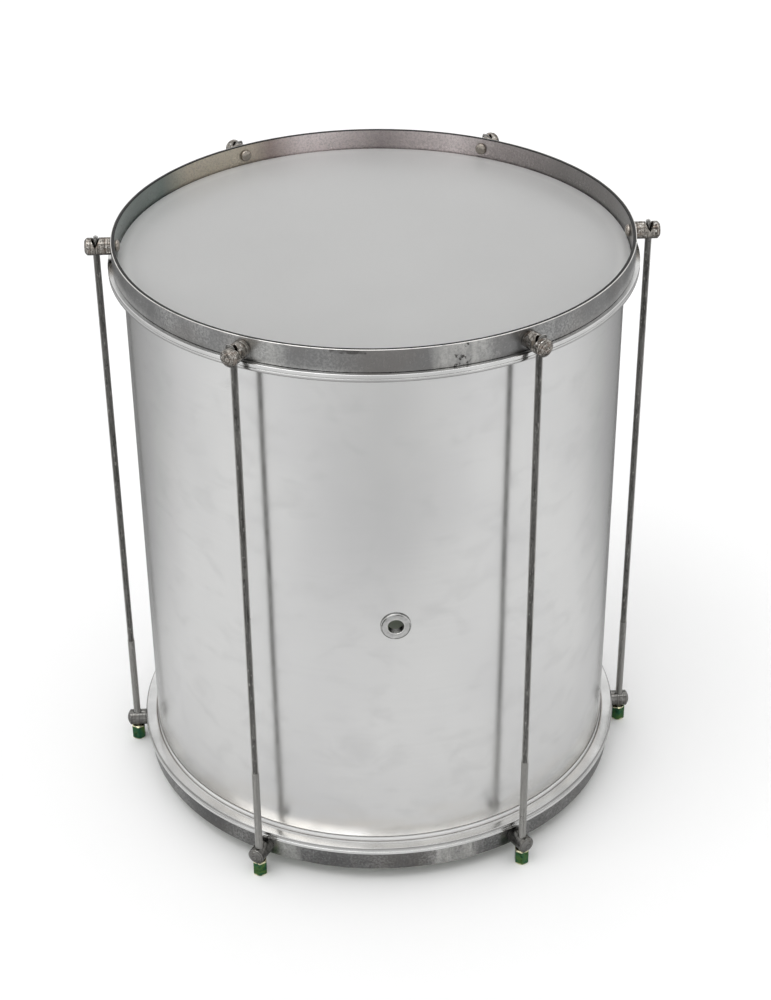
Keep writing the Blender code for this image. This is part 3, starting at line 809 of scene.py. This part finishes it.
def threadMesh(low):
    # one pitch of the thread's flank, spun up the rod as a helix and cut square at both ends
    s = tensionRod
    pitch = s["pitch"]
    turns = math.ceil(s["threadLength"] / pitch) + 2
    crest = s["threadRadius"]
    root = s["threadRoot"]
    bm = bmesh.new()
    flank = [(root, 0), (root, 0.14 * pitch), (crest, 0.5 * pitch), (crest, 0.64 * pitch), (root, pitch)]
    verts = [bm.verts.new((x, 0, low - pitch + z)) for x, z in flank]
    for a, b in zip(verts, verts[1:]):
        bm.edges.new((a, b))
    steps = turns * s["threadSegments"]
    bmesh.ops.spin(
        bm, geom=bm.verts[:] + bm.edges[:], cent=(0, 0, 0), axis=(0, 0, 1), dvec=(0, 0, pitch / s["threadSegments"]),
        angle=math.tau * turns, steps=steps, use_merge=False,
    )
    bmesh.ops.remove_doubles(bm, verts=bm.verts, dist=1e-6)
    for height, way in ((low, -1), (low + s["threadLength"], 1)):
        cut = bmesh.ops.bisect_plane(
            bm, geom=bm.verts[:] + bm.edges[:] + bm.faces[:], dist=1e-7, plane_co=(0, 0, height),
            plane_no=(0, 0, way), clear_outer=True,
        )
        edges = [e for e in cut["geom_cut"] if isinstance(e, bmesh.types.BMEdge)]
        bmesh.ops.edgeloop_fill(bm, edges=edges)
    bmesh.ops.recalc_face_normals(bm, faces=bm.faces)
    return bm


def buildRods():
    low = rodBox[0][2] - (topEdge + lugLevel)
    blank = settleMesh(rodBlank(low), "rodBlank")
    thread = settleMesh(threadMesh(low), "rodThread")
    mesh = combined(blank, [thread], "UNION", sharpAngle=40)
    rodSteel = drawnSteelRod()
    halfTurn = Matrix.Rotation(math.pi, 4, "Z")
    station = Matrix.Translation((rodCircle, 0, lugLevel))
    for number, angle in enumerate(lugAngles, start=1):
        place = batterEnd @ Matrix.Rotation(angle, 4, "Z") @ station
        if math.cos(angle) < 0:  # these hooks point the other way round the drum
            place = place @ halfTurn
        dress(f"hookedRod{number}", mesh, f"tension_rod_{number}", rodSteel, place)


buildRods()
print("stage: rods")

# Nuts: tall hexagons with both ends turned off

tuningNut = {
    "flats": 11.1 * millimetre,
    "endRadius": 5.3 * millimetre,
    "chamfer": 1.1 * millimetre,
    "boreRadius": 3.475 * millimetre,
    "edgeRounding": 0.25 * millimetre,
}


def greenPassivatedZinc():
    # zinc dipped in green passivate: a deep bottle green, with pale yellow highlights painted in patches near the ends
    material, tree, shader = newMaterial("greenPassivatedZinc", {"Metallic": 1.0})
    place = addNode(tree, "TexCoord", output="Object")
    film = grainAt(tree, place, 0.009, detail=2.0, distortion=0.5)
    grimeAndPaintedShade = grainAt(tree, place, 0.0035, detail=3.0)
    highlightGrain = grainAt(tree, place, 0.004, detail=2.0)
    height = addNode(tree, "SeparateXYZ", {0: place}, "Z")
    waist = (nutBox[0][2] + nutBox[1][2]) / 2
    half = (nutBox[1][2] - nutBox[0][2]) / 2
    body = bandAbout(tree, height, waist, half - 0.8 * millimetre, half - 3.2 * millimetre)
    nearEnd = addNode(tree, "Math", {0: 1.0, 1: body}, operation="SUBTRACT")
    paintedEndHighlight = addNode(tree, "Math", {0: nearEnd, 1: highlightGrain}, operation="MULTIPLY")
    # painted highlight: pale yellow patches near both ends
    tone = coats(tree, "34654A", [
        (film, 0.42, 0.64, 1.0, "62803F"), (grimeAndPaintedShade, 0.5, 0.7, 0.7, "16301F"), (paintedEndHighlight, 0.36, 0.5, 0.95, "F6F1CC"),
    ])
    feed(tree, shader, {
        "Base Color": tone,
        "Roughness": addNode(tree, "MapRange", {"Value": grimeAndPaintedShade, 1: 0.3, 2: 0.7, 3: 0.16, 4: 0.3}),
        "Normal": addNode(tree, "Bump", {"Height": grimeAndPaintedShade, "Distance": 0.02 * millimetre}),
    })
    return material


def buildNuts():
    s = tuningNut
    height = nutBox[1][2] - nutBox[0][2]
    cornerRadius = s["flats"] / math.sqrt(3)
    bm = bmesh.new()
    bmesh.ops.create_cone(
        bm, cap_ends=True, segments=6, radius1=cornerRadius, radius2=cornerRadius, depth=height,
        matrix=Matrix.Translation((0, 0, height / 2)),
    )
    upright = [e for e in bm.edges if abs(e.verts[0].co.z - e.verts[1].co.z) > height / 2]
    bmesh.ops.bevel(
        bm, geom=upright, offset=s["edgeRounding"], offset_type="OFFSET", segments=3, profile=0.5,
        affect="EDGES", material=-1, clamp_overlap=True,
    )
    hexagon = settleMesh(bm, "hexagon")
    wide = s["endRadius"] + 2 * (cornerRadius - s["endRadius"])
    rise = 2 * s["chamfer"]
    outline = [
        (0, height, 0), (s["endRadius"], height, 0.2 * millimetre), (wide, height - rise, 0),
        (wide, rise, 0), (s["endRadius"], 0, 0.2 * millimetre), (0, 0, 0),
    ]
    barrel = settleMesh(spinOutline(filletOutline(outline), 72, closed=False), "barrel")
    chamfered = combined(hexagon, [barrel], "INTERSECT", sharpAngle=25)
    bore = cylinderTool(s["boreRadius"], 3 * height, 36, [Matrix.Translation((0, 0, height / 2))])
    mesh = combined(chamfered, [bore], sharpAngle=25)
    nutZinc = greenPassivatedZinc()
    for number, angle in enumerate(lugAngles, start=1):
        place = Matrix.Rotation(angle, 4, "Z") @ Matrix.Translation((rodCircle, 0, nutBox[0][2]))
        dress(f"hexNut{number}", mesh, f"tuning_nut_{number}", nutZinc, place)


buildNuts()
print("stage: nuts")

# Vent: an eyelet with a rolled mouth, and the washer that it is curled over

ventEyelet = {
    "segments": 72,
    "flangeRadius": 12.25 * millimetre,
    "flangeThickness": 1.8 * millimetre,
    "boreRadius": 6.4 * millimetre,
    "barrelWall": 1.1 * millimetre,
    "curl": 1.3 * millimetre,
    "washerRadius": 11.0 * millimetre,
    "washerThickness": 1.0 * millimetre,
    "washerGap": 1.05 * millimetre,  # the flat washer meets the round shell only at its sides
    "gap": 0.3 * millimetre,  # from shell to flange, washer to curl and barrel to washer
}


def nickelPlate():
    # nickel over brass: a clear warm-grey mirror with slight swirls, with painted shade where the rim rolls down and on
    # its outer edge, and a painted highlight round the mouth
    s = ventEyelet
    material, tree, shader = newMaterial("nickelPlate", {"Metallic": 1.0})
    place = addNode(tree, "TexCoord", output="Object")
    swirl = grainAt(tree, place, 0.004, detail=3.0, distortion=1.0)
    rimShadeGrain = grainAt(tree, place, 0.008, detail=2.0)
    turned = addNode(tree, "Mapping", {"Vector": place, "Rotation": (0, 0, -ventAngle)})
    across = addNode(tree, "VectorMath", {0: turned, 1: (0, 0, ventMiddle[2])}, operation="SUBTRACT")
    flat = addNode(tree, "VectorMath", {0: across, 1: (0, 1, 1)}, operation="MULTIPLY")
    reach = addNode(tree, "VectorMath", {0: flat}, "Value", operation="LENGTH")  # from the vent's own axis
    edge = s["flangeRadius"]
    mouth = s["boreRadius"]
    nearEdge = bandAbout(tree, reach, edge - 1.05 * millimetre, 0.8 * millimetre, 0.3 * millimetre)
    paintedRimShade = addNode(tree, "Math", {0: nearEdge, 1: rimShadeGrain}, operation="MULTIPLY")
    tone = coats(tree, "D2D2D1", [
        # painted shade: darker patches where the rim rolls down
        (swirl, 0.35, 0.7, 1.0, "B4B4B2"), (paintedRimShade, 0.38, 0.55, 0.85, "3E3E3C"),
        # painted highlight: a pale ring round the mouth
        (reach, mouth + 0.8 * millimetre, mouth + 0.3 * millimetre, 0.6, "F0F0EE"),
        # painted shade: a dark line round the flange's outer edge
        (reach, edge - 0.35 * millimetre, edge - 0.15 * millimetre, 0.5, "4A4A48"),
    ])
    feed(tree, shader, {
        "Base Color": tone,
        "Roughness": addNode(tree, "MapRange", {"Value": swirl, 1: 0.3, 2: 0.7, 3: 0.07, 4: 0.16}),
        "Normal": addNode(tree, "Bump", {"Height": swirl, "Distance": 0.03 * millimetre}),
    })
    return material


def plainSteel():
    # punched steel washer: grey, slightly dull
    material, tree, shader = newMaterial("plainSteel", {"Metallic": 1.0})
    place = addNode(tree, "TexCoord", output="Object")
    mottle = grainAt(tree, place, 0.003, detail=4.0)
    feed(tree, shader, {
        "Base Color": coats(tree, "8B8A88", [(mottle, 0.3, 0.7, 1.0, "A3A2A0")]),
        "Roughness": addNode(tree, "MapRange", {"Value": mottle, 1: 0.3, 2: 0.7, 3: 0.3, 4: 0.45}),
        "Normal": addNode(tree, "Bump", {"Height": mottle, "Distance": 0.02 * millimetre}),
    })
    return material


def buildVent():
    s = ventEyelet
    back = shellRadius + s["gap"]
    front = back + s["flangeThickness"]
    barrel = s["boreRadius"] + s["barrelWall"]
    washerFace = shellRadius - shellSheet["wall"] - s["washerGap"]
    washerBack = washerFace - s["washerThickness"]
    curlFace = washerBack - s["gap"]
    curlBack = curlFace - s["barrelWall"]
    outline = [
        (s["boreRadius"], front - 0.2 * millimetre, 0.7 * millimetre),
        (s["boreRadius"] + 1.9 * millimetre, front, 1.2 * millimetre),
        (s["flangeRadius"], front - 0.25 * millimetre, 1.35 * millimetre),
        (s["flangeRadius"], back, 0.15 * millimetre), (barrel, back, 0.1 * millimetre),
        (barrel, curlFace, 0.1 * millimetre), (barrel + s["curl"], curlFace, 0.2 * millimetre),
        (barrel + s["curl"], curlBack, 0.4 * millimetre), (s["boreRadius"], curlBack, 0.4 * millimetre),
    ]
    bm = spinOutline(filletOutline(outline, 5), s["segments"])
    wrapMap(bm)
    place = shellPlace @ ventFrame
    dress("ventEyelet", settleMesh(bm, "ventEyelet"), "vent_grommet", nickelPlate(), place)
    rim = s["washerRadius"]
    hole = barrel + s["gap"]
    r = 0.15 * millimetre
    outline = [(rim, washerFace, r), (rim, washerBack, r), (hole, washerBack, r), (hole, washerFace, r)]
    bm = spinOutline(filletOutline(outline, 2), s["segments"])
    wrapMap(bm)
    dress("ventWasher", settleMesh(bm, "ventWasher"), "vent_washer", plainSteel(), place)


buildVent()
print("stage: vent")

# Stage, light and camera

studio = {
    "floorWidth": 40.0,
    "floorDrop": 0.2 * millimetre,
    "floorTone": "E6E6E5",
    "horizonLight": 0.95,
    "midLight": 0.8,
    "bandLight": 0.35,
    "coveLight": 1.8,
    "zenithLight": 1.0,
    "keyStrength": 0.5,
    "keySpread": 50,  # degrees across, so its shadow is soft
    "keyFrom": (-0.55, -0.45, 1.0),
    # what the metal mirrors of the floor within the near reach and beyond the far one, by degrees round
    # from the front: darker behind the drum, and where the photographer stands
    "nearReach": 0.36,
    "farReach": 0.87,
    "mirroredNear": [(0, "DEDEDE"), (90, "DDDDDD"), (108, "CBCBCB"), (122, "A6A6A6"), (137, "888888"), (160, "6C6C6C")],
    "mirroredFar": [
        (0, "C2C2C2"), (15, "C8C8C8"), (40, "D9D9D9"), (65, "DCDCDC"), (90, "D4D4D4"), (108, "B9B9B9"),
        (122, "A5A5A5"), (137, "8D8D8D"), (160, "6D6D6D"),
    ],
}


def buildFloor():
    bm = bmesh.new()
    bmesh.ops.create_grid(bm, x_segments=8, y_segments=8, size=studio["floorWidth"] / 2)
    mesh = settleMesh(bm, "floor")
    mesh.transform(Matrix.Translation((0, 0, -studio["floorDrop"])))
    floor = looseObject("floor", mesh)
    material, tree, shader = newMaterial("whiteFloor", {"Roughness": 0.9, "Specular IOR Level": 0.0})
    place = addNode(tree, "SeparateXYZ", {0: addNode(tree, "TexCoord", output="Object")})
    towards = addNode(tree, "Math", {0: place.node.outputs["Y"], 1: -1.0}, operation="MULTIPLY")
    angle = addNode(tree, "Math", {0: place, 1: towards}, operation="ARCTAN2")
    aside = addNode(tree, "Math", {0: angle}, operation="ABSOLUTE")
    share = addNode(tree, "MapRange", {"Value": aside, 1: 0.0, 2: math.pi})
    near = tonesRound(tree, share, studio["mirroredNear"], 0, 180)
    far = tonesRound(tree, share, studio["mirroredFar"], 0, 180)
    flat = addNode(tree, "CombineXYZ", {0: place, 1: place.node.outputs["Y"]})
    reach = addNode(tree, "VectorMath", {0: flat}, "Value", operation="LENGTH")
    distance = addNode(tree, "MapRange", {"Value": reach, 1: studio["nearReach"], 2: studio["farReach"]})
    metalView = addNode(tree, "Mix", {0: distance, 6: near, 7: far}, 2, data_type="RGBA")
    path = addNode(tree, "LightPath")
    seen = addNode(tree, "Math", {
        0: path.node.outputs["Is Camera Ray"], 1: path.node.outputs["Is Transmission Ray"],
    }, operation="MAXIMUM")
    mirrored = addNode(tree, "Mix", {
        0: path.node.outputs["Is Glossy Ray"], 6: studio["floorTone"], 7: metalView,
    }, 2, data_type="RGBA")
    tone = addNode(tree, "Mix", {0: seen, 6: mirrored, 7: "FFFFFF"}, 2, data_type="RGBA")
    feed(tree, shader, {"Base Color": tone})
    mesh.materials.append(material)


def buildWorld():
    # a white ceiling in a brighter ring, a dark band below that, a grey wall and a pale horizon, alike all round
    world = bpy.data.worlds.new("studioWorld")
    scene.world = world
    world.use_nodes = True
    tree = world.node_tree
    direction = addNode(tree, "TexCoord", output="Generated")
    ramp = addNode(tree, "ValToRGB", {0: addNode(tree, "SeparateXYZ", {0: direction}, "Z")})
    stops = [
        (0.0, studio["horizonLight"]), (0.2, studio["horizonLight"]), (0.42, studio["midLight"]),
        (0.66, studio["midLight"]), (0.72, studio["bandLight"]), (0.8, studio["bandLight"]),
        (0.84, studio["coveLight"]), (0.92, studio["coveLight"]),
        (0.97, studio["zenithLight"]), (1.0, studio["zenithLight"]),
    ]
    elements = ramp.node.color_ramp.elements
    while len(elements) < len(stops):
        elements.new(0.5)
    for element, (position, light) in zip(elements, stops):
        element.position = position
        element.color = (light, light, light, 1.0)
    tree.links.new(ramp, tree.nodes["Background"].inputs["Color"])


def buildLamps():
    lamp = bpy.data.lights.new("keyLamp", "SUN")
    lamp.energy = studio["keyStrength"]
    lamp.angle = math.radians(studio["keySpread"])
    key = bpy.data.objects.new("keyLamp", lamp)
    key.rotation_euler = Vector(studio["keyFrom"]).to_track_quat("Z", "Y").to_euler()
    scene.collection.objects.link(key)


photoCamera = {
    "aim": (0.00751, -0.00037, 0.24861),
    "distance": 1.80393,
    "azimuth": -2.83,
    "elevation": 31.96,
    "roll": -0.53,
    "lens": 74.53,
}


def buildCamera():
    s = photoCamera
    azimuth, elevation, roll = (math.radians(s[k]) for k in ("azimuth", "elevation", "roll"))
    level = math.cos(elevation)
    forward = Vector((-math.sin(azimuth) * level, math.cos(azimuth) * level, -math.sin(elevation)))
    right = forward.cross(Vector((0, 0, 1))).normalized()
    up = right.cross(forward)
    rightRolled = right * math.cos(roll) + up * math.sin(roll)
    upRolled = up * math.cos(roll) - right * math.sin(roll)
    data = bpy.data.cameras.new("photoCamera")
    data.sensor_width = 36
    data.sensor_fit = "AUTO"
    data.lens = s["lens"]
    data.clip_start = 0.01
    camera = bpy.data.objects.new("photoCamera", data)
    turned = Matrix((rightRolled, upRolled, -forward)).transposed().to_4x4()
    camera.matrix_world = Matrix.Translation(Vector(s["aim"]) - forward * s["distance"]) @ turned
    scene.collection.objects.link(camera)
    scene.camera = camera


buildFloor()
buildWorld()
buildLamps()
buildCamera()
scene.view_settings.view_transform = "Standard"
print("stage: studio and camera")
